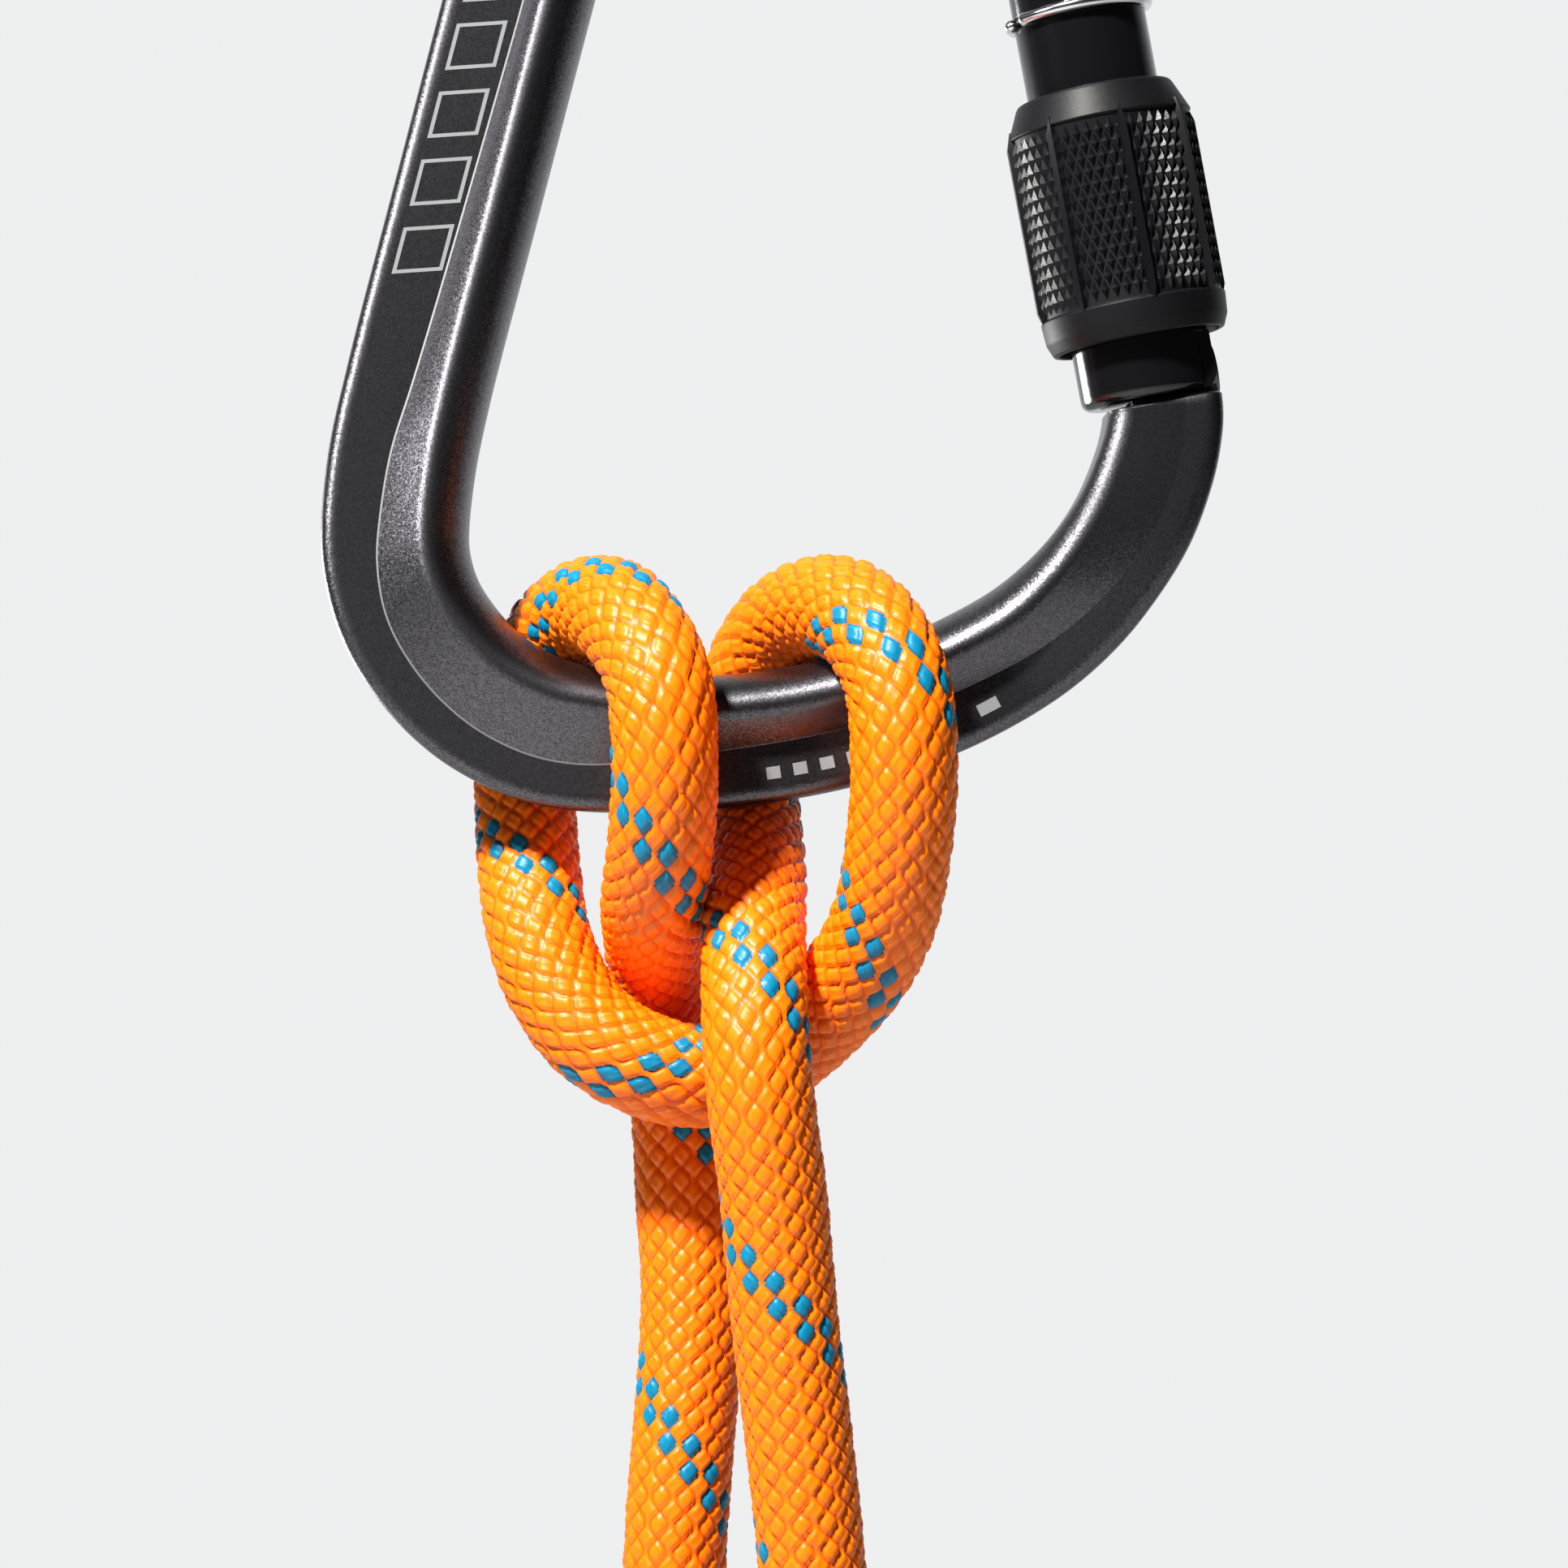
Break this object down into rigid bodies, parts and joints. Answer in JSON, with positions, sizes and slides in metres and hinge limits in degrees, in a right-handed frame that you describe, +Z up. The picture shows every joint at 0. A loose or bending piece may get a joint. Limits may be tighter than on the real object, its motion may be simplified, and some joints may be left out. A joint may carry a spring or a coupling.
{
  "type": "screw-gate carabiner with clove-hitched rope",
  "caption": "Pear-shaped screw-gate locking carabiner with a sprung, hinged gate and a climbing rope clove-hitched round its wide bow.",
  "frame": {"origin": "seat at the inner top of the narrow bow, where the anchor or sling bears", "axes": "+Z up through the narrow bow, +X from the spine towards the gate, +Y to the back face"},
  "size_m": [0.082, 0.0657, 0.2709],
  "materials": {
    "frame_anodised": "satin bead-blasted dark grey anodising",
    "gate_anodised": "glossy black anodising",
    "sleeve_anodised": "satin black, knurled",
    "steel": "bright",
    "spring_steel": "drawn wire",
    "wear_ring": "matte",
    "rope_sheath": "braided nylon with blue tracers",
    "eye_cover": "shrunk polymer sleeve"
  },
  "bodies": {
    "frame": {"frame": "frame_anodised", "hinge_rivet": "steel", "rope": "rope_sheath", "eye_cover_front": "eye_cover", "eye_cover_back": "eye_cover"},
    "gate": {"gate": "gate_anodised", "gate_spring": "spring_steel", "stop_ring": "steel"},
    "plunger": {"spring_plunger": "steel"},
    "sleeve_ring": {"sleeve_ring": "wear_ring"},
    "sleeve": {"screw_sleeve": "sleeve_anodised"}
  },
  "joints": [
    {"name": "gate_hinge", "type": "hinge", "parent": "frame", "child": "gate", "pos_m": [0.0191, 0, -0.0136], "axis": [0, 1, 0], "range_deg": [0, 24], "stiffness_Nm_per_rad": 0.48, "springref_deg": -36.1},
    {"name": "plunger_slide", "type": "slide", "parent": "gate", "child": "plunger", "axis": [0.1822, 0, -0.9833], "range_m": [0, 0.0007], "deforming": ["gate_spring"]},
    {"name": "sleeve_travel", "type": "slide", "parent": "gate", "child": "sleeve_ring", "axis": [-0.1822, 0, 0.9833], "range_m": [-0.0056, 0.0065]},
    {"name": "sleeve_turn", "type": "hinge", "parent": "sleeve_ring", "child": "sleeve", "pos_m": [0.02759, 0, -0.05942], "axis": [-0.1822, 0, 0.9833], "range_deg": [-500, 580]}
  ],
  "couplings": [
    {"joint": "plunger_slide", "follows": "gate_hinge", "m_per_rad": 0.00149},
    {"joint": "sleeve_travel", "follows": "sleeve_turn", "m_per_rad": 0.00063662}
  ]
}
